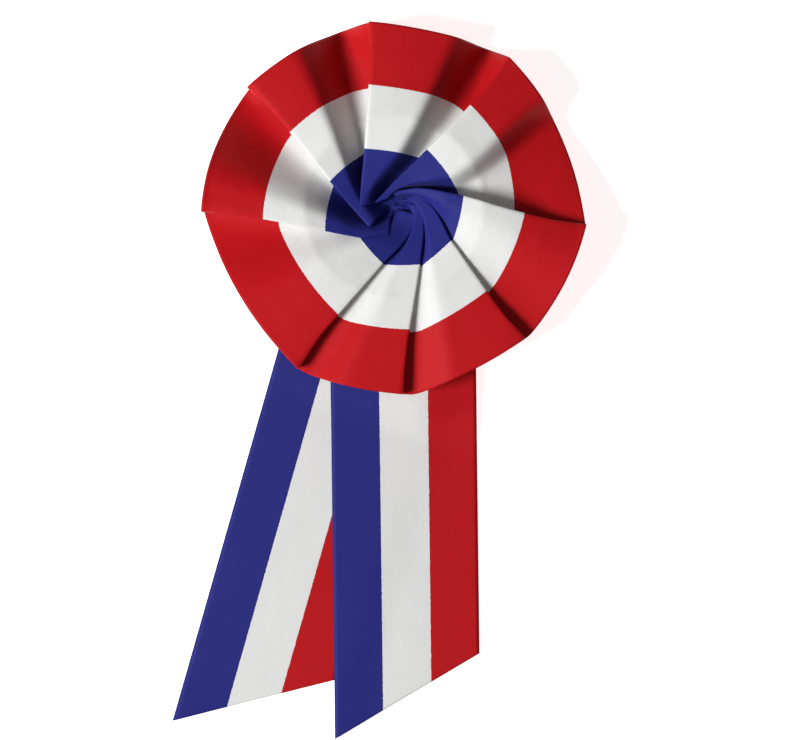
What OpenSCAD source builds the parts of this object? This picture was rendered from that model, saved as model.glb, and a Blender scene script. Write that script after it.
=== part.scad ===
// Ribbon cockade: one wide ribbon pleated round into a rosette, two ribbon
// tails laid out below it and a plain pin across the back.
// The cockade lies on its back on a surface at z = 0 and shows its face to +Z.
// The rosette's axis is the Z axis and the tails run towards -Y.

/* [Rosette] */
// Width of the rosette ribbon, from the rim to the eye
ribbon_w = 50; // [44:1:60]
// Thickness of the rosette ribbon with its stiffening
ribbon_t = 1; // [1:0.1:1.4]
// Mean distance of the inner fold corners from the axis
eye_r = 8; // [7:0.5:10]
// Distance from the axis at which the gathers are drawn together
core_r = 3.2; // [2.4:0.2:4]
// Height of the fold crests above the valleys at the rim
rim_crest_h = 14; // [9:0.5:17]
// Height of the fold crests above the valleys at the eye
eye_crest_h = 3.4; // [2.4:0.2:5]
// Extra height of the crests half way between rim and eye
belly_h = 0.6; // [0:0.2:2]
// Height of the gathered folds where they are drawn together
core_crest_h = 1.2; // [0.6:0.2:2]

/* [Tails] */
// Width of the tail ribbon
tail_w = 40; // [30:1:48]
// Thickness of the tail ribbon
tail_t = 1; // [1:0.1:1.4]
// Length of the left tail, from the axis to its long corner
left_len = 152; // [110:1:190]
// Length of the front tail, from the axis to its long corner
front_len = 145.5; // [110:1:190]
// Length of tail that is held behind the rosette, above the axis
held_len = 8; // [6:1:14]
// Lean of the left tail away from straight down
left_lean = 15.9; // [12:0.1:24]
// Lean of the front tail away from straight down
front_lean = -0.7; // [-4:0.1:4]
// Slant of the cut ends
cut_slant = 30; // [0:1:40]
// Sideways place of the front tail at the axis
front_shift = 2; // [-4:0.5:4]
// Height of the lower tail's underside where it leaves the rosette
leave_h = 1.4; // [0.6:0.1:3]

/* [Pin] */
// Length of the pin's plate
pin_len = 30; // [20:1:38]
// Width of the pin's plate
pin_w = 5; // [4:0.5:8]
// Thickness of the pin's plate
plate_t = 0.8; // [0.6:0.1:1.4]
// Height of the pin from the surface to the top of its plate
pin_h = 5; // [3.6:0.2:7]
// Diameter of the pin's wire
wire_d = 1; // [0.8:0.1:1.4]
// Length of each end block that carries the wire
block_len = 4; // [3:0.5:6]
// Distance of the pin above the axis
pin_up = 3; // [0:0.5:5]

/* [Fit] */
// Gap left between neighbouring pieces
clear = 0.3; // [0.2:0.05:0.5]

/* [Hidden] */
$fn = 48;

// The folds, clockwise from the top. The columns are: turn of the crest and its
// reach at the rim; both where the inner stripe starts; both at the inner
// corner, that reach as a share of eye_r and the others of the rim radius; the
// valley's reach at the rim; the way to the valley, as a share of the way to
// the next crest, at the rim and inside; how far the panel's stripes run ahead
// of the next crest's, as a share of the width; the share of the crest's height
// that the valley keeps; how straight the rim runs to the valley; shoulder of
// the panel at the rim and at the eye as a share of that way; crest height as a
// share, and how far the rim drops towards the surface as a share.
TURN = 0;
REACH = 1;
INNER_TURN = 2;
INNER_REACH = 3;
EYE_TURN = 4;
EYE_REACH = 5;
LOW_REACH = 6;
VALLEY = 7;
INNER_VALLEY = 8;
AHEAD = 9;
KEPT = 10;
STRAIGHT = 11;
SHOULDER = 12;
EYE_SHOULDER = 13;
CREST = 14;
DROP = 15;
FOLDS = [
    [97.7, 1.010, 117.3, 0.355, 176.7, 1.20, 1.003, 0.84, 0.93, 0.03, 0.00, 0.7, 0.66, 0.30, 1.00, 1.00],
    [52.6, 1.020, 61.2, 0.361, 140.0, 0.76, 0.988, 0.42, 0.92, 0.00, 0.18, 0.3, 0.60, 0.40, 0.92, 1.00],
    [-4.8, 1.040, 10.2, 0.381, 72.0, 0.66, 1.005, 0.96, 0.96, 0.00, 0.50, 0.3, 0.22, 0.40, 1.00, 0.80],
    [-44.6, 1.000, -29.5, 0.357, 32.0, 0.89, 1.000, 0.91, 0.92, 0.00, 0.50, 0.5, 0.66, 0.60, 0.80, 0.00],
    [-86.9, 1.007, -64.8, 0.338, 4.0, 0.96, 1.010, 0.92, 0.95, 0.00, 0.50, 0.5, 0.60, 0.55, 0.75, 0.00],
    [-120.3, 1.013, -100.2, 0.311, -26.0, 0.86, 1.015, 0.95, 0.91, 0.05, 0.25, 0.5, 0.48, 0.50, 0.80, 0.00],
    [-178.2, 1.038, -160.0, 0.395, -98.9, 1.25, 1.020, 0.94, 0.95, 0.00, 0.00, 0.2, 0.26, 0.25, 1.00, 0.35],
    [-219.2, 1.023, -201.4, 0.373, -140.9, 1.12, 1.003, 0.78, 0.90, 0.00, 0.00, 0.4, 0.50, 0.25, 1.00, 1.00]
];
fold_count = len(FOLDS);

// Each crest is a straight line across the ribbon and touches the eye ring,
// so the rim radius follows from the ribbon's width.
rim_r = sqrt(ribbon_w * ribbon_w + eye_r * eye_r);

// Heights of the undersides where the pieces are stacked at the axis.
layer = tail_t + clear;
left_seat = pin_h + clear;
front_seat = left_seat + layer;
rosette_seat = front_seat + layer;
// The stack stays level as far as the corners of the held tails.
seat_r = norm([tail_w / 2 + abs(front_shift), held_len]) + 1;
rim_seat = leave_h + 2 * layer;
// The rim's own lowest folds stay just clear of the surface.
rim_low = 0.3;

function clamp01(x) = max(0, min(1, x));
function smooth(x) = clamp01(x) * clamp01(x) * (3 - 2 * clamp01(x));
function mix(a, b, x) = a + (b - a) * x;
function fall(r) = clamp01((r - seat_r) / (rim_r - seat_r));
function wrap(a) = a - 360 * floor((a + 180) / 360);
function polar(r, a) = [r * cos(a), r * sin(a)];

// Row of fold i; past the last one the count starts again, a full turn on.
function fold(i, c) = FOLDS[i % fold_count][c];
function fold_turn(i, c) = fold(i, c) - 360 * floor(i / fold_count);

// Point of crest i that a turn column and its reach give, on a ring of radius r.
function fold_point(i, c, r) = polar(r * fold(i, c + 1), fold(i, c));

// Crest line i at the share v across the ribbon, as [radius, turn]. It runs
// straight to the inner stripe and straight again to the inner corner.
function crest_line(i, v) =
    let (inner = fold_point(i, INNER_TURN, rim_r),
         p = v < 2 / 3 ? mix(fold_point(i, TURN, rim_r), inner, v * 3 / 2)
                       : mix(inner, fold_point(i, EYE_TURN, eye_r), v * 3 - 2),
         a = atan2(p[1], p[0]))
    [norm(p), fold_turn(i, TURN) + wrap(a - fold(i, TURN))];

// From gather_start on, the crests bend off their lines into the core.
gather_start = 0.80;
function gathered(v) = clamp01((v - gather_start) / (1 - gather_start));
function crest(i, v) =
    let (p = crest_line(i, v), start = crest_line(i, min(v, gather_start)))
    [mix(p[0], core_r, pow(gathered(v), 1.6)), mix(start[1], p[1], 0.8)];

// Way to the valley at the share v across, as a share of the way on.
function valley(i, v) =
    mix(mix(fold(i, VALLEY), fold(i, INNER_VALLEY), clamp01(v * 3 / 2)), 0.62,
        smooth(gathered(v)));

// The valley beyond crest i, as [radius, turn].
function valley_line(i, v) =
    let (ahead = fold(i, AHEAD) * (v < 2 / 3 ? pow(v * 3 / 2, 1.6) : 3 * (1 - v)),
         next = crest(i + 1, min(v + ahead, 1)),
         reach = rim_r * (fold(i, LOW_REACH) - fold(i + 1, REACH)) * (1 - v))
    [next[0] + reach, mix(crest(i, v)[1], next[1], valley(i, v))];

// Place in plan between the ends a and b, part of the way along an arc and
// part of it along the straight line.
function plan(i, a, b, s, v) =
    let (straight = mix(fold(i, STRAIGHT), 1, v * v))
    mix(polar(mix(a[0], b[0], s), mix(a[1], b[1], s)),
        mix(polar(a[0], a[1]), polar(b[0], b[1]), s), straight);

// Height of the ribbon's middle at the valleys.
function floor_z(i, f, r) =
    let (drop = mix(fold(i, DROP), fold(i + 1, DROP), clamp01(f)))
    mix(rosette_seat, mix(rim_seat, rim_low, drop), fall(r)) + ribbon_t / 2;

// Height of crest i above the valleys.
function crest_h(i, v) =
    mix(fold(i, CREST) * (mix(rim_crest_h, eye_crest_h, v) + belly_h * sin(180 * v)),
        core_crest_h, smooth(gathered(v)));

// Share of the crest's height that is left at its valley.
function kept(i, v) =
    fold(i, KEPT) * mix(0.8, 1, smooth(v * 3 / 2)) * (1 - smooth(v * 3 - 2));

// Share of the crest's height on the panel, s of the way to its valley.
function panel(i, s, v) =
    let (edge = mix(fold(i, SHOULDER), fold(i, EYE_SHOULDER), pow(v, 4)))
    mix(kept(i, v), 1, 1 - smooth((s - edge) / (1 - edge)));

// Stations along the ribbon from each crest down the panel to the valley,
// then up the return to the next crest, as shares of each of the two ways.
PANEL_STEPS = [0, 0.2, 0.36, 0.5, 0.6, 0.69, 0.78, 0.87, 1];
RETURN_STEPS = [0.33, 0.66];
station_count = len(PANEL_STEPS) + len(RETURN_STEPS);

function rise(q, way) =
    let (soft = clamp01((1 - way) / 0.2))
    mix(q, sin(90 * q), soft);

function ribbon_point(i, k, v) =
    let (down = k < len(PANEL_STEPS),
         way = valley(i, v),
         low = valley_line(i, v),
         s = down ? PANEL_STEPS[k] : 0,
         q = down ? 0 : RETURN_STEPS[k - len(PANEL_STEPS)],
         p = down ? plan(i, crest(i, v), low, s, v) : plan(i, low, crest(i + 1, v), q, v),
         h = down ? crest_h(i, v) * panel(i, s, v)
                  : mix(crest_h(i, v) * kept(i, v), crest_h(i + 1, v), rise(q, way)))
    [p[0], p[1], floor_z(i, down ? s * way : mix(way, 1, q), norm(p)) + h];

// Shares across the ribbon, from the rim to the inner selvedge.
band_steps = 5;
ACROSS_STEPS = [for (n = [0 : 3 * band_steps]) n / (3 * band_steps)];

function loop_row(v) =
    [for (i = [0 : fold_count - 1], k = [0 : station_count - 1])
        ribbon_point(i, k, v)];

// Inside the core the gathers flatten out towards the axis.
core_z = rosette_seat + (ribbon_t + core_crest_h) / 2;
core_row = [for (p = loop_row(1)) [p[0] * 0.5, p[1] * 0.5, (p[2] + core_z) / 2]];

ROWS = concat([for (v = ACROSS_STEPS) loop_row(v)], [core_row]);
row_len = fold_count * station_count;

function unit(v) = v / max(norm(v), 1e-9);
function at(j, k) = ROWS[j][(k + row_len) % row_len];

// Way from the ribbon's middle to its face. A corner's offset is lengthened so
// that the walls on both sides of it keep their thickness, and in the tight
// gathers of the eye the ribbon is thickened straight up and down.
function face_normal(j, k) =
    let (j0 = max(j - 1, 0), j1 = min(j + 1, len(ROWS) - 1),
         across = at(j1, k) - at(j0, k),
         before = unit(cross(across, at(j, k) - at(j, k - 1))),
         after = unit(cross(across, at(j, k + 1) - at(j, k))),
         n = unit(before + after),
         v = j < len(ACROSS_STEPS) ? ACROSS_STEPS[j] : 1)
    mix(n / max(0.72, n * before), [0, 0, 1.3], smooth((v - 0.66) / 0.2));

function side(j, s) = [for (k = [0 : row_len - 1])
    at(j, k) + face_normal(j, k) * s * ribbon_t / 2];

// One stripe of the rosette, counted from the rim; the last takes the core.
module rosette_stripe(n) {
    first = n * band_steps;
    last = n < 2 ? first + band_steps : len(ROWS) - 1;
    rows = last - first + 1;
    top = [for (j = [first : last], p = side(j, 1)) p];
    bottom = [for (j = [first : last], p = side(j, -1)) p];
    poles = [[0, 0, core_z + ribbon_t / 2], [0, 0, core_z - ribbon_t / 2]];
    size = rows * row_len;
    function id(j, k, s) = s * size + j * row_len + (k % row_len);
    function wall(j) = [for (k = [0 : row_len - 1], h = [0, 1])
        h == 0 ? [id(j, k, 0), id(j, k, 1), id(j, k + 1, 1)]
               : [id(j, k, 0), id(j, k + 1, 1), id(j, k + 1, 0)]];
    function turned(faces) = [for (f = faces) [f[2], f[1], f[0]]];
    faces = concat(
        [for (j = [0 : rows - 2], k = [0 : row_len - 1], h = [0, 1])
            h == 0 ? [id(j, k, 0), id(j, k + 1, 0), id(j + 1, k, 0)]
                   : [id(j, k + 1, 0), id(j + 1, k + 1, 0), id(j + 1, k, 0)]],
        [for (j = [0 : rows - 2], k = [0 : row_len - 1], h = [0, 1])
            h == 0 ? [id(j, k, 1), id(j + 1, k, 1), id(j, k + 1, 1)]
                   : [id(j, k + 1, 1), id(j + 1, k, 1), id(j + 1, k + 1, 1)]],
        wall(0),
        n < 2 ? turned(wall(rows - 1)) : concat(
            [for (k = [0 : row_len - 1])
                [id(rows - 1, k, 0), id(rows - 1, k + 1, 0), 2 * size]],
            [for (k = [0 : row_len - 1])
                [id(rows - 1, k + 1, 1), id(rows - 1, k, 1), 2 * size + 1]]));
    polyhedron(points = concat(top, bottom, n < 2 ? [] : poles), faces = faces,
               convexity = 10);
}

STRIPES = ["firebrick", "whitesmoke", "darkblue"];

module rosette_ribbon() {
    for (n = [0 : 2])
        color(STRIPES[n]) rosette_stripe(n);
}

// The tails fall sooner than the rosette's back, so they stay below it.
tail_lead = tail_w * 0.4;
settle_len = 14;

// Height of the lower tail's underside, d along it from the axis.
function lower_z(d) =
    mix(left_seat, leave_h, fall(d + tail_lead)) *
    (1 - smooth((d - rim_r + 4) / settle_len));

// Where each tail's short edge ends.
cut_drop = tail_w * tan(cut_slant);
left_short = left_len - cut_drop;

// Outline of a tail in plan, hanging from the axis towards -Y.
module tail_outline(length) {
    polygon([[-tail_w / 2, held_len], [tail_w / 2, held_len],
             [tail_w / 2, cut_drop - length], [-tail_w / 2, -length]]);
}

bend_start = seat_r - tail_lead;
bend_end = rim_r - 4 + settle_len;
LOWER_STATIONS = concat([-held_len, bend_start],
    [for (n = [0 : 14]) mix(rim_r - 4 - tail_lead + 3, bend_end, n / 14)], [left_len]);

// One stripe of the lower tail, counted from its left edge.
module lower_stripe(n) {
    intersection() {
        translate([(n - 1) * tail_w / 3, 0, 0])
            rotate([90, 0, -90])
                linear_extrude(height = tail_w / 3, center = true)
                    polygon(concat(
                        [for (d = LOWER_STATIONS) [d, lower_z(d)]],
                        [for (m = [len(LOWER_STATIONS) - 1 : -1 : 0])
                            [LOWER_STATIONS[m], lower_z(LOWER_STATIONS[m]) + tail_t]]));
        translate([0, 0, -1])
            linear_extrude(height = left_seat + tail_t + 3)
                tail_outline(left_len);
    }
}

module tail_left() {
    rotate([0, 0, -left_lean])
        for (n = [0 : 2])
            color(STRIPES[2 - n]) lower_stripe(n);
}

// The front tail lies over the left one and droops to the surface beside it.
drape_len = 12;
function along_left(p) = -p[0] * sin(left_lean) - p[1] * cos(left_lean);
function across_left(p) = p[0] * cos(left_lean) - p[1] * sin(left_lean);
function cover(p) =
    let (beside = smooth((across_left(p) - tail_w / 2 - 0.8) / drape_len),
         out = smooth((norm(p) - rim_r + 4) / settle_len),
         past = smooth((along_left(p) - left_short - 0.5) / drape_len))
    (1 - beside * out) * (1 - past);
function front_z(p) = lower_z(along_left(p)) + layer * cover(p);

// Stations down the front tail, the last ones spread over what is laid flat.
front_bend = rim_r + 12;
FRONT_STATIONS = concat([for (n = [0 : 6]) mix(-held_len, 12, n / 6)],
                        [for (n = [1 : 3]) mix(12, rim_r - 20, n / 3)],
                        [for (n = [1 : 9]) mix(rim_r - 20, front_bend, n / 9)]);
flat_steps = 9;

function front_end(x) = front_len - cut_drop * (x / tail_w + 0.5);
function front_place(x, m) =
    let (bends = len(FRONT_STATIONS) - 1,
         d = m <= bends ? FRONT_STATIONS[m]
                        : mix(front_bend, front_end(x), (m - bends) / flat_steps))
    [front_shift + x * cos(front_lean) - d * sin(front_lean),
     -x * sin(front_lean) - d * cos(front_lean)];

front_columns = 4;
module front_stripe(n) {
    rows = len(FRONT_STATIONS) + flat_steps;
    cols = front_columns + 1;
    function grid(lift) = [for (m = [0 : rows - 1], c = [0 : cols - 1])
        let (p = front_place(tail_w * ((n + c / front_columns) / 3 - 0.5), m))
        [p[0], p[1], front_z(p) + lift]];
    function id(m, c, s) = s * rows * cols + m * cols + c;
    rim = concat([for (c = [0 : cols - 2]) [0, c]],
                 [for (m = [0 : rows - 2]) [m, cols - 1]],
                 [for (c = [cols - 1 : -1 : 1]) [rows - 1, c]],
                 [for (m = [rows - 1 : -1 : 1]) [m, 0]]);
    faces = concat(
        [for (m = [0 : rows - 2], c = [0 : cols - 2], h = [0, 1])
            h == 0 ? [id(m, c, 1), id(m, c + 1, 1), id(m + 1, c, 1)]
                   : [id(m, c + 1, 1), id(m + 1, c + 1, 1), id(m + 1, c, 1)]],
        [for (m = [0 : rows - 2], c = [0 : cols - 2], h = [0, 1])
            h == 0 ? [id(m, c, 0), id(m + 1, c, 0), id(m, c + 1, 0)]
                   : [id(m, c + 1, 0), id(m + 1, c, 0), id(m + 1, c + 1, 0)]],
        [for (r = [0 : len(rim) - 1], h = [0, 1])
            let (a = rim[r], b = rim[(r + 1) % len(rim)])
            h == 0 ? [id(a[0], a[1], 0), id(b[0], b[1], 0), id(b[0], b[1], 1)]
                   : [id(a[0], a[1], 0), id(b[0], b[1], 1), id(a[0], a[1], 1)]]);
    polyhedron(points = concat(grid(0), grid(tail_t)), faces = faces, convexity = 6);
}

module tail_front() {
    for (n = [0 : 2])
        color(STRIPES[2 - n]) front_stripe(n);
}

// A plain bar pin: a plate with round ends, a block near each end and the
// wire between the blocks, all one piece.
module brooch_pin() {
    color("silver")
        translate([0, pin_up, 0]) {
            translate([0, 0, pin_h - plate_t])
                linear_extrude(height = plate_t) {
                    square([pin_len - pin_w, pin_w], center = true);
                    for (s = [-1, 1])
                        translate([s * (pin_len - pin_w) / 2, 0]) circle(d = pin_w);
                }
            for (s = [-1, 1])
                translate([s * (pin_len - pin_w) / 2 - block_len / 2, -pin_w * 0.3, 0])
                    cube([block_len, pin_w * 0.6, pin_h - plate_t]);
            translate([-(pin_len - pin_w) / 2, 0, wire_d])
                rotate([0, 90, 0]) cylinder(d = wire_d, h = pin_len - pin_w);
        }
}

rosette_ribbon();
tail_left();
tail_front();
brooch_pin();
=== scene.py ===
import math
import bmesh
import bpy
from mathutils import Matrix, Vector, noise


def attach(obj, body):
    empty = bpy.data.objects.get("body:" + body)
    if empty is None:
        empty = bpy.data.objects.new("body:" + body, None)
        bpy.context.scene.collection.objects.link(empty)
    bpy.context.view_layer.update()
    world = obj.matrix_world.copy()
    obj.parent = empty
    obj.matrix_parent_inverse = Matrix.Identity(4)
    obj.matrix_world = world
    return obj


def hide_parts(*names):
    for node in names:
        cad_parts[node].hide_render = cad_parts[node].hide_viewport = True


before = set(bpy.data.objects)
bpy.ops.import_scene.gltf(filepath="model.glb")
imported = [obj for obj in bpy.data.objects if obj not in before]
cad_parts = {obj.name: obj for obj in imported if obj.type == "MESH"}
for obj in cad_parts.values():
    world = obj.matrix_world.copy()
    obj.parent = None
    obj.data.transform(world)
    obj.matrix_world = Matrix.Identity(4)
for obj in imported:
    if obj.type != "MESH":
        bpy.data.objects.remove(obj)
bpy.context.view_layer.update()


# Bar pin
# A plain brooch bar of nickelled steel across the back, stitched to the folds
# behind the eye. The solid of the frame has its shape and only gets its finish.

class Tone:
    """A value or colour in a material, which can be used in sums."""

    def __init__(self, finish, socket):
        self.finish = finish
        self.socket = socket

    def __add__(self, other):
        return self.finish.sum("ADD", self, other)

    def __radd__(self, other):
        return self.finish.sum("ADD", other, self)

    def __sub__(self, other):
        return self.finish.sum("SUBTRACT", self, other)

    def __rsub__(self, other):
        return self.finish.sum("SUBTRACT", other, self)

    def __mul__(self, other):
        return self.finish.sum("MULTIPLY", self, other)

    def __rmul__(self, other):
        return self.finish.sum("MULTIPLY", other, self)


class Finish:
    """A material in the making. One method adds every node that isn't a sum."""

    def __init__(self, name):
        self.material = bpy.data.materials.new(name)
        self.material.use_nodes = True
        self.tree = self.material.node_tree
        self.tree.nodes.clear()

    def node(self, kind, settings, sockets):
        made = self.tree.nodes.new(kind)
        for name, value in settings.items():
            setattr(made, name, value)
        for name, value in sockets.items():
            if isinstance(value, Tone):
                self.tree.links.new(value.socket, made.inputs[name])
            else:
                made.inputs[name].default_value = value
        return made

    def tone(self, kind, output, settings, sockets):
        return Tone(self, self.node(kind, settings, sockets).outputs[output])

    def sum(self, operation, first, second=0.0):
        return self.tone("ShaderNodeMath", 0, {"operation": operation},
                         {0: first, 1: second})

    def mixed(self, factor, first, second, blend="MIX"):
        """Two colours mixed; their sockets are the Mix node's sixth and seventh."""
        return self.tone("ShaderNodeMix", 2, {"data_type": "RGBA", "blend_type": blend},
                         {0: factor, 6: first, 7: second})

    def step(self, value, start, end, low=0.0, high=1.0):
        """A soft step from low to high while value goes from start to end."""
        return self.tone("ShaderNodeMapRange", 0, {"interpolation_type": "SMOOTHSTEP"},
                         {0: value, 1: start, 2: end, 3: low, 4: high})

    def surface(self, sockets):
        shader = self.tone("ShaderNodeBsdfPrincipled", 0, {}, sockets)
        self.node("ShaderNodeOutputMaterial", {}, {"Surface": shader})
        return self.material


def nickelled_steel():
    finish = Finish("nickelled_steel")
    place = finish.tone("ShaderNodeTexCoord", "Object", {}, {})
    brushed = finish.tone("ShaderNodeMapping", 0, {},
                          {"Vector": place, "Scale": (60.0, 2600.0, 2600.0)})
    scratches = finish.tone("ShaderNodeTexNoise", 0, {},
                            {"Vector": brushed, "Scale": 1.0, "Detail": 3.0})
    dulled = finish.tone("ShaderNodeTexNoise", 0, {},
                         {"Vector": place, "Scale": 320.0, "Detail": 4.0})
    colour = finish.mixed(finish.step(dulled, 0.35, 0.75),
                          (0.62, 0.61, 0.58, 1.0), (0.47, 0.45, 0.41, 1.0))
    bump = finish.tone("ShaderNodeBump", 0, {},
                       {"Strength": 0.15, "Distance": 0.00002, "Height": scratches})
    return finish.surface({
        "Base Color": colour,
        "Metallic": 1.0,
        "Roughness": 0.24 + 0.12 * scratches + 0.14 * dulled,
        "Normal": bump,
    })


steel = nickelled_steel()
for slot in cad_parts["brooch_pin"].material_slots:
    slot.material = steel


# Left tail
# A length of thin tricolour ribbon, woven with its stripes, 40 mm wide. Its top
# is held between the rosette and the pin, and its slanted end lies on the table.

# Sizes are in metres.
CLOTH = 0.00035
TAIL_WIDTH = 0.040
HELD = 0.008
LEFT_LENGTH = 0.152
LEFT_LEAN = math.radians(15.9)
CUT_DROP = TAIL_WIDTH * math.tan(math.radians(30.0))
WALL = 0.001
GAP = 0.0003
LAYER = WALL + GAP
LEFT_SEAT = 0.005 + GAP
LEAVE_HEIGHT = 0.0014
SEAT_RADIUS = math.hypot(TAIL_WIDTH / 2 + 0.002, HELD) + 0.001
RIM_RADIUS = math.hypot(0.050, 0.008)
SETTLE = 0.014
UNDER_RIM = 0.004
AIR = 0.00003
BROAD_WAVE = 0.00032
SMALL_WAVE = 0.00008
CORNER_SHARE = 0.4
LEFT_CURL = 0.016
LEFT_CURL_HEIGHT = 0.0009
RIB_PITCH = 0.00046
CORD_PITCH = 0.00034
STRIPE_BLUR = 0.00006
SELVEDGE = 0.0007
RED = (0.43, 0.005, 0.008, 1.0)
WHITE = (0.68, 0.68, 0.67, 1.0)
BLUE = (0.018, 0.021, 0.178, 1.0)


def clamp(x):
    return max(0.0, min(1.0, x))


def smooth(x):
    return clamp(x) ** 2 * (3 - 2 * clamp(x))


def mix(a, b, x):
    return a + (b - a) * x


def fall(radius):
    return clamp((radius - SEAT_RADIUS) / (RIM_RADIUS - SEAT_RADIUS))


def lower_height(along):
    """Height of the lower tail's underside, this far along it from the axis."""
    held = mix(LEFT_SEAT, LEAVE_HEIGHT, fall(along + TAIL_WIDTH * 0.4))
    return held * (1 - smooth((along - RIM_RADIUS + UNDER_RIM) / SETTLE))


def ripple(x, y):
    """Slight waves of ribbon that lies loose."""
    broad = noise.noise(Vector((x * 38, y * 22, 0.7)))
    small = noise.noise(Vector((x * 95, y * 60, 3.1)))
    return BROAD_WAVE * clamp(0.5 + broad) + SMALL_WAVE * clamp(0.5 + small)


def resting(x, y):
    """Height of the middle of loose cloth above what it lies on."""
    return CLOTH / 2 + AIR + ripple(x, y)


def curled(past, across, curl):
    """Share by which the long corner of a cut end curls up; past is below 0 on the cloth."""
    return smooth((past + curl) / curl) * smooth((CORNER_SHARE - across) / CORNER_SHARE)


def ribbon_sheet(name, lengths, widths, place, closed=False):
    """A grid of cloth; place gives a point, and its way along and across in metres."""
    mesh = bmesh.new()
    bmesh.ops.create_grid(mesh, x_segments=lengths, y_segments=widths, size=0.5)
    weave = mesh.loops.layers.uv.new("weave")
    placed = {vert: place(vert.co.x + 0.5, vert.co.y + 0.5) for vert in mesh.verts}
    for face in mesh.faces:
        face.smooth = True
        for loop in face.loops:
            loop[weave].uv = placed[loop.vert][1]
    for vert in mesh.verts:
        vert.co = placed[vert][0]
    if closed:
        bmesh.ops.remove_doubles(mesh, verts=mesh.verts[:], dist=1e-7)
    # The ribbon's good side is up.
    bmesh.ops.recalc_face_normals(mesh, faces=mesh.faces[:])
    if sum(face.normal.z * face.calc_area() for face in mesh.faces) < 0:
        bmesh.ops.reverse_faces(mesh, faces=mesh.faces[:])
    data = bpy.data.meshes.new(name)
    mesh.to_mesh(data)
    mesh.free()
    cloth = bpy.data.objects.new(name, data)
    bpy.context.collection.objects.link(cloth)
    wall = cloth.modifiers.new("cloth", "SOLIDIFY")
    wall.thickness = CLOTH
    wall.offset = 0
    return cloth


def woven_ribbon(name, width, first, last, tone):
    """Striped taffeta; the first colour starts at the edge where across is 0."""
    finish = Finish(name)
    way = finish.tone("ShaderNodeUVMap", 0, {"uv_map": "weave"}, {})
    split = finish.node("ShaderNodeSeparateXYZ", {}, {"Vector": way})
    along = Tone(finish, split.outputs[0])
    across = Tone(finish, split.outputs[1])

    def threads(lengthwise, crosswise, detail):
        """Noise with this many cells to a metre, along and across the ribbon."""
        place = finish.tone("ShaderNodeCombineXYZ", 0, {},
                            {"X": along * lengthwise, "Y": across * crosswise})
        return finish.tone("ShaderNodeTexNoise", 0, {},
                           {"Vector": place, "Scale": 1.0, "Detail": detail})

    # The weft steps the stripes' borders a little from thread to thread.
    border = across + 0.0003 * (threads(1500.0, 60.0, 1.0) - 0.5)
    middle = finish.step(border, width / 3 - STRIPE_BLUR, width / 3 + STRIPE_BLUR)
    inner = finish.step(border, width * 2 / 3 - STRIPE_BLUR, width * 2 / 3 + STRIPE_BLUR)
    striped = finish.mixed(inner, finish.mixed(middle, first, WHITE), last)

    # Warp threads differ a little in shade along their whole length.
    warp = threads(60.0, 3400.0, 2.0)
    slub = threads(700.0, 1500.0, 3.0)
    broad = threads(70.0, 90.0, 2.0)
    shade = tone + 0.1 * warp + 0.1 * slub + 0.08 * broad
    edge = (finish.step(across, 0.0, SELVEDGE, 1.0, 0.0)
            + finish.step(across, width - SELVEDGE, width, 0.0, 1.0))
    shade = shade - 0.1 * edge
    grey = finish.tone("ShaderNodeCombineColor", 0, {},
                       {"Red": shade, "Green": shade, "Blue": shade})
    colour = finish.mixed(1.0, striped, grey, "MULTIPLY")

    rib = finish.sum("SINE", along * (2 * math.pi / RIB_PITCH))
    cord = finish.sum("SINE", across * (2 * math.pi / CORD_PITCH))
    height = 0.5 + 0.28 * rib * cord + 0.12 * rib + 0.2 * warp + 0.3 * edge
    bump = finish.tone("ShaderNodeBump", 0, {},
                       {"Strength": 0.45, "Distance": 0.00006, "Height": height})
    return finish.surface({
        "Base Color": colour,
        "Roughness": 0.62 - 0.14 * warp + 0.08 * slub,
        "Specular IOR Level": 0.10,
        "Sheen Weight": 0.02,
        "Sheen Roughness": 0.45,
        "Normal": bump,
    })


def left_place(along, across):
    x = (across - 0.5) * TAIL_WIDTH
    d = mix(-HELD, LEFT_LENGTH - CUT_DROP * across, along)
    raised = clamp(lower_height(d) / LEAVE_HEIGHT)
    px = x * math.cos(LEFT_LEAN) - d * math.sin(LEFT_LEAN)
    py = -x * math.sin(LEFT_LEAN) - d * math.cos(LEFT_LEAN)
    curl = LEFT_CURL_HEIGHT * curled(d - LEFT_LENGTH, across, LEFT_CURL)
    lift = mix(resting(px, py) + curl, WALL / 2, raised)
    return (px, py, lower_height(d) + lift), (d + HELD, across * TAIL_WIDTH)


tail_cloth = woven_ribbon("tail_ribbon", TAIL_WIDTH, BLUE, RED, 0.78)
left_tail = ribbon_sheet("left_tail_ribbon", 220, 30, left_place)
left_tail.data.materials.append(tail_cloth)
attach(left_tail, "root")
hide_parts("tail_left")


# Front tail
# A second length of the same ribbon, laid over the first. Beside the first one
# it droops to the table, and its end is cut at the same slant.

FRONT_LENGTH = 0.1455
FRONT_LEAN = math.radians(-0.7)
FRONT_SHIFT = 0.002
FRONT_CURL = 0.014
FRONT_CURL_HEIGHT = 0.0008
DRAPE = 0.012
BESIDE_EDGE = 0.0008
PAST_END = 0.0005
LOOSE_GAP = 0.00012
LEFT_SHORT = LEFT_LENGTH - CUT_DROP


def cover(x, y):
    """Way along the left tail here, and the share by which it carries the front one."""
    along = -x * math.sin(LEFT_LEAN) - y * math.cos(LEFT_LEAN)
    aside = x * math.cos(LEFT_LEAN) - y * math.sin(LEFT_LEAN)
    beside = smooth((aside - TAIL_WIDTH / 2 - BESIDE_EDGE) / DRAPE)
    out = smooth((math.hypot(x, y) - RIM_RADIUS + UNDER_RIM) / SETTLE)
    past = smooth((along - LEFT_SHORT - PAST_END) / DRAPE)
    return along, (1 - beside * out) * (1 - past)


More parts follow.
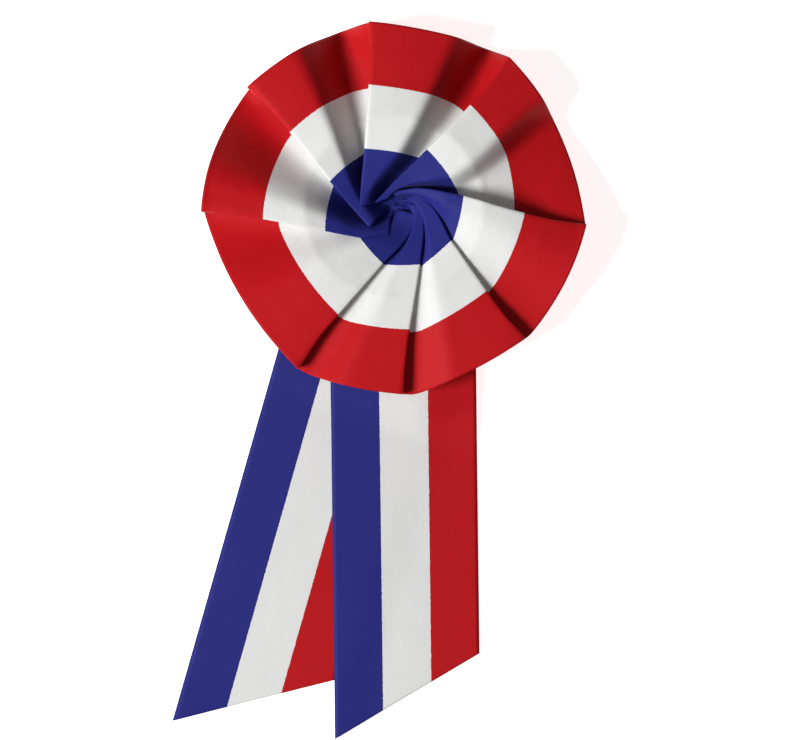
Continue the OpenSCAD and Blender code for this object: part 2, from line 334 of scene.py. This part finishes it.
def front_place(along, across):
    x = (across - 0.5) * TAIL_WIDTH
    d = mix(-HELD, FRONT_LENGTH - CUT_DROP * across, along)
    px = FRONT_SHIFT + x * math.cos(FRONT_LEAN) - d * math.sin(FRONT_LEAN)
    py = -x * math.sin(FRONT_LEAN) - d * math.cos(FRONT_LEAN)
    under, carried = cover(px, py)
    raised = clamp(lower_height(under) / LEAVE_HEIGHT)
    curl = FRONT_CURL_HEIGHT * curled(d - FRONT_LENGTH, across, FRONT_CURL)
    lift = mix(resting(px, py) + curl, WALL / 2, raised)
    lift = lift + carried * mix(CLOTH + LOOSE_GAP, LAYER, raised)
    return (px, py, lower_height(under) + lift), (d + HELD, across * TAIL_WIDTH)


front_tail = ribbon_sheet("front_tail_ribbon", 220, 36, front_place)
front_tail.data.materials.append(tail_cloth)
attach(front_tail, "root")
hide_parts("tail_front")


# Rosette ribbon
# One length of 50 mm tricolour ribbon laid round in eight pleats. Its inner
# edge is drawn together on a thread and stitched down through tails and pin.

RIBBON = 0.050
RIBBON_LENGTH = 0.410
BLUE_RADIUS = 0.0184
EYE_RADIUS = 0.008
DRAWN_RADIUS = 0.0020
GATHER = (0.0010, 0.0015)
ROSETTE_FLOOR = LEFT_SEAT + 2 * LAYER + WALL / 2
RIM_FLOOR = LEAVE_HEIGHT + 2 * LAYER + WALL / 2
RIM_LOW = 0.0001 + WALL / 2
RIM_CREST = 0.0150
INNER_CREST = 0.0048
BELLY = 0.0002
PIT = 0.0004
TUCK = 0.0115
EYE_TUCK = 0.0044
MOST_TUCK = 0.45
NARROW_PLEAT = 0.004
CRUMPLE = 0.00010
FINE_CRUMPLE = 0.00004
PASSES = 9
# Share of the way to the middle of the gathers, and depth, of each row past the eye.
GATHERED_ROWS = [(-0.04, 0.0), (0.5, 0.0003), (0.96, 0.0004)]
PANEL = 26
RISING = 8
RETURN = 8
STATIONS = PANEL + RISING + RETURN
WIDTH_ROWS = 75

# Each row is a pleat, clockwise from the top. The columns are its crest's turn
# in degrees and reach at the rim, at the blue stripe and at the eye, as shares
# of the three radii; the bow of the crest in the blue, in metres; the valley's
# reach at the rim and at the blue; the way to the valley at the rim and at the
# blue, as shares; the share of the crest's height that the valley keeps; the
# height regained before the cloth tucks under the next crest, at the rim and at
# the blue, as shares; the depth of that tuck at the rim in metres; how straight
# the rim runs; the panel's shoulder at rim and eye; the crest's height and the
# rim's drop as shares; its height at the eye in metres; how soft the crest is.
RIM_TURN, RIM_REACH, BLUE_TURN, BLUE_REACH, EYE_TURN, EYE_REACH, BOW = range(7)
RIM_LOWER, BLUE_LOWER, RIM_VALLEY, BLUE_VALLEY, KEPT, RIM_RISE, BLUE_RISE = range(7, 14)
RIM_TUCK, STRAIGHT, SHOULDER, EYE_SHOULDER, CREST, DROP, EYE_HEIGHT, SOFT = range(14, 22)
PLEATS = [
    [97.7, 1.010, 117.3, 0.978, 176.7, 1.200, 0.0000,
     1.003, 0.84, 0.84, 0.95, 0.00, 1.00, 0.10,
     0.0000, 0.7, 0.72, 0.10, 1.00, 1.00, 0.0064, 0.2],
    [52.6, 1.020, 61.2, 0.992, 164.9, 0.673, 0.0000,
     0.988, 0.98, 0.42, 0.92, 0.18, 0.80, 0.30,
     0.0010, 0.3, 0.68, 0.60, 0.92, 1.00, 0.0054, 0.7],
    [-4.8, 1.040, 10.2, 1.048, 104.4, 0.503, 0.0016,
     1.005, 1.00, 0.96, 0.97, 0.68, 0.05, 0.00,
     0.0010, 0.3, 0.22, 0.40, 1.00, 0.80, 0.0042, 0.6],
    [-44.6, 1.000, -29.5, 0.981, 32.6, 0.905, 0.0013,
     1.014, 0.96, 0.92, 0.98, 0.79, 0.05, 0.00,
     0.0015, 0.6, 0.66, 0.70, 0.80, 0.00, 0.0032, 0.3],
    [-86.9, 1.007, -64.8, 0.931, 7.7, 0.934, 0.0008,
     1.010, 0.86, 0.90, 0.96, 0.80, 0.05, 0.00,
     0.0015, 0.5, 0.62, 0.60, 0.75, 0.00, 0.0028, 0.3],
    [-120.3, 1.013, -100.2, 0.856, -16.4, 0.795, 0.0015,
     1.015, 0.68, 0.96, 0.97, 0.25, 0.00, 0.00,
     0.0020, 0.5, 0.48, 0.60, 0.80, 0.00, 0.0026, 0.4],
    [-178.2, 1.038, -160.0, 1.087, -98.9, 1.246, 0.0000,
     1.020, 0.96, 0.94, 0.96, 0.00, 0.05, 0.00,
     0.0008, 0.2, 0.26, 0.20, 1.00, 0.35, 0.0048, 0.4],
    [-219.2, 1.023, -201.4, 1.027, -140.9, 1.111, 0.0000,
     1.003, 0.92, 0.78, 0.90, 0.00, 0.80, 0.30,
     0.0006, 0.4, 0.54, 0.15, 1.00, 1.00, 0.0056, 0.3],
]


def pleat(i, column):
    return PLEATS[i % len(PLEATS)][column]


def polar(radius, turn):
    return Vector((radius * math.cos(math.radians(turn)),
                   radius * math.sin(math.radians(turn))))


def to_blue(v):
    """Share of the way from the rim to the blue stripe, past 1 inside the blue."""
    return v * 1.5


def in_blue(v):
    """Share of the way through the blue stripe, below 0 outside it."""
    return v * 3 - 2


def crest_place(i, v):
    """Radius and unwrapped turn of crest i at the share v from rim to eye."""
    blue = polar(BLUE_RADIUS * pleat(i, BLUE_REACH), pleat(i, BLUE_TURN))
    if v < 2 / 3:
        rim = polar(RIM_RADIUS * pleat(i, RIM_REACH), pleat(i, RIM_TURN))
        place = rim.lerp(blue, to_blue(v))
    else:
        w = in_blue(v)
        eye = polar(EYE_RADIUS * pleat(i, EYE_REACH), pleat(i, EYE_TURN))
        inward = (eye - blue).normalized()
        place = blue.lerp(eye, w)
        place += Vector((inward.y, -inward.x)) * pleat(i, BOW) * math.sin(math.pi * w ** 1.25)
    turn = math.degrees(math.atan2(place.y, place.x)) - pleat(i, RIM_TURN)
    turn = turn - 360 * math.floor((turn + 180) / 360)
    return place.length, pleat(i, RIM_TURN) + turn - 360 * (i // len(PLEATS))


def from_rim(i, v, rim, blue):
    """A value of pleat i that changes from the rim to the blue stripe."""
    return mix(pleat(i, rim), pleat(i, blue), clamp(to_blue(v)) ** 2)


def crest_height(i, v):
    """Height of crest i over the floor under the rosette."""
    outer = mix(RIM_CREST, INNER_CREST, v) + BELLY * math.sin(math.pi * v)
    return mix(pleat(i, CREST) * outer, pleat(i, EYE_HEIGHT), smooth((v - 0.74) / 0.26))


def kept_share(i, v):
    """Share of the crest's height that the valley keeps, none at the eye."""
    return pleat(i, KEPT) * mix(0.8, 1.0, smooth(to_blue(v))) * (1 - smooth(in_blue(v)))


def panel_share(i, s, v):
    """Height of the panel as a share of its crest's, s of the way to the valley."""
    edge = mix(pleat(i, SHOULDER), pleat(i, EYE_SHOULDER), v ** 4)
    return mix(kept_share(i, v), 1.0, 1 - smooth((s - edge) / (1 - edge)))


def pleat_point(i, k, v):
    """Station k of pleat i: over the panel, up under the next crest, and back to it."""
    here = crest_place(i, v)
    there = crest_place(i + 1, v)
    blue_low = BLUE_RADIUS * pleat(i, BLUE_LOWER)
    low_radius = mix(RIM_RADIUS * pleat(i, RIM_LOWER), blue_low, to_blue(v))
    if v > 2 / 3:
        low_radius = mix(blue_low, DRAWN_RADIUS, in_blue(v))
    way = mix(from_rim(i, v, RIM_VALLEY, BLUE_VALLEY), 1.0, smooth(in_blue(v)))
    span = (polar(*here) - polar(*there)).length
    # The hidden tuck is deepest in the white and shallow again at the eye.
    tuck = mix(pleat(i, RIM_TUCK), TUCK, smooth(v / 0.3))
    tuck = mix(tuck, EYE_TUCK, smooth((v - 0.46) / 0.18))
    under = 1 + min(tuck / max(span, NARROW_PLEAT), MOST_TUCK)
    tuck_radius = mix(there[0] * 0.997, low_radius, smooth(v / 0.3))
    valley = (low_radius, mix(here[1], there[1], way))
    tucked = (tuck_radius, mix(here[1], there[1], under))
    next_height = crest_height(i + 1, v)
    valley_height = crest_height(i, v) * kept_share(i, v)
    regained = from_rim(i, v, RIM_RISE, BLUE_RISE) * (1 - smooth(in_blue(v)))
    regained = max(next_height * regained, valley_height)
    if k <= PANEL:
        s = k / PANEL
        first, last, f = here, valley, s * way
        height = crest_height(i, v) * panel_share(i, s, v)
    elif k <= PANEL + RISING:
        s = (k - PANEL) / RISING
        first, last, f = valley, tucked, 1.0
        height = mix(valley_height, regained, smooth(s) if v < 0.5 else s)
    else:
        s = (k - PANEL - RISING) / RETURN
        first, last, f = tucked, there, 1.0
        height = mix(regained, next_height, s)
    arc = polar(mix(first[0], last[0], s), mix(first[1], last[1], s))
    chord = polar(*first).lerp(polar(*last), s)
    place = arc.lerp(chord, mix(pleat(i, STRAIGHT), 1.0, v ** 2))
    away = s if k <= PANEL else 1.0 if k <= PANEL + RISING else 1 - s
    place += Vector(GATHER) * away * smooth((v - 0.75) / 0.25)
    low = mix(pleat(i, DROP), pleat(i + 1, DROP), f)
    floor = mix(ROSETTE_FLOOR, mix(RIM_FLOOR, RIM_LOW, low), fall(place.length))
    pit = PIT * smooth((0.009 - place.length) / 0.007)
    return Vector((place.x, place.y, floor + height - pit))


def softened(row, v):
    """Rounds the folds: a few passes at the rim and hardly any at the eye."""
    count = len(row)
    for n in range(PASSES):
        passed = []
        for k in range(count):
            i = round(k / STATIONS)
            wanted = 1.2 + 7 * pleat(i, SOFT) * (1 - v) ** 1.5
            weight = 0.5 * clamp(wanted - n)
            middle = (row[k - 1] + row[(k + 1) % count]) / 2
            passed.append(row[k].lerp(middle, weight))
        row = passed
    return row


def along_ribbon(row):
    """Way along the ribbon at each station, measured from the nearest crest."""
    count = len(row)
    steps = [(row[(k + 1) % count] - row[k]).length for k in range(count)]
    ways = []
    for i in range(len(PLEATS)):
        start = i * STATIONS
        for k in range(STATIONS):
            if k <= PANEL + RISING // 2:
                ways.append(i * PLEAT_LENGTH + sum(steps[start:start + k]))
            else:
                left = sum(steps[start + k:start + STATIONS])
                ways.append((i + 1) * PLEAT_LENGTH - left)
    return ways + [RIBBON_LENGTH]


PLEAT_LENGTH = RIBBON_LENGTH / len(PLEATS)
rows = []
for j in range(WIDTH_ROWS + 1):
    v = j / WIDTH_ROWS
    row = [pleat_point(i, k, v) for i in range(len(PLEATS)) for k in range(STATIONS)]
    rows.append(softened(row, v))
# Past the inner selvedge the gathers sink and close over the thread.
for inward, depth in GATHERED_ROWS:
    sunk = []
    for point in rows[WIDTH_ROWS]:
        place = point.xy.lerp(Vector(GATHER), inward)
        height = (point.z - ROSETTE_FLOOR) * 0.15 * (1 - inward)
        sunk.append(Vector((place.x, place.y, ROSETTE_FLOOR - depth + height)))
    rows.append(sunk)
ways = [along_ribbon(row) for row in rows]
STATION_COUNT = len(PLEATS) * STATIONS
ROWS = len(rows) - 1


def rosette_place(along, across):
    k = round(along * STATION_COUNT)
    j = round(across * ROWS)
    point = rows[j][k % STATION_COUNT]
    crumple = noise.noise(point * 160) * CRUMPLE + noise.noise(point * 420) * FINE_CRUMPLE
    return (point.x, point.y, point.z + crumple), (ways[j][k], j / WIDTH_ROWS * RIBBON)


rosette = ribbon_sheet("rosette_pleats", STATION_COUNT, ROWS, rosette_place, closed=True)
rosette.data.materials.append(woven_ribbon("rosette_ribbon", RIBBON, RED, BLUE, 0.87))
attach(rosette, "root")
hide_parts("rosette_ribbon")


# Table, light and camera
# A plain white table top, a large soft lamp from the left, a weaker one from
# above on the right, and a long lens straight above the ribbon.

def lamp(name, place, size, power):
    """A round soft lamp that points at the cockade."""
    light = bpy.data.lights.new(name, "AREA")
    light.shape = "DISK"
    light.size = size
    light.energy = power
    fixture = bpy.data.objects.new(name, light)
    bpy.context.collection.objects.link(fixture)
    fixture.location = place
    aim = Vector((0.0, -0.03, 0.0)) - Vector(place)
    fixture.rotation_euler = aim.to_track_quat("-Z", "Y").to_euler()


top = bmesh.new()
bmesh.ops.create_grid(top, x_segments=1, y_segments=1, size=3.0)
table_data = bpy.data.meshes.new("table_top")
top.to_mesh(table_data)
top.free()
table_top = bpy.data.objects.new("table_top", table_data)
bpy.context.collection.objects.link(table_top)
paper = Finish("white_paper")
table_data.materials.append(paper.surface({"Base Color": (0.93, 0.93, 0.93, 1.0),
                                           "Emission Color": (1.0, 1.0, 1.0, 1.0),
                                           "Emission Strength": 0.78,
                                           "Roughness": 0.9}))

lamp("key_lamp", place=(-0.83, -0.28, 0.88), size=0.42, power=20.6)
lamp("fill_lamp", place=(0.20, -0.10, 1.25), size=0.90, power=1.0)
world = bpy.data.worlds.new("studio")
world.use_nodes = True
sky = world.node_tree.nodes["Background"]
sky.inputs["Color"].default_value = (1.0, 1.0, 1.0, 1.0)
sky.inputs["Strength"].default_value = 0.09
bpy.context.scene.world = world
bpy.context.scene.view_settings.view_transform = "Standard"

# The photograph is 800 by 740 pixels at 0.275 mm a pixel.
VIEW_WIDTH = 0.220
DISTANCE = 1.5
optics = bpy.data.cameras.new("camera")
optics.sensor_width = 36.0
optics.lens = optics.sensor_width * DISTANCE / VIEW_WIDTH
camera = bpy.data.objects.new("camera", optics)
bpy.context.collection.objects.link(camera)
camera.location = (0.00165, -0.04428, DISTANCE)
bpy.context.scene.camera = camera
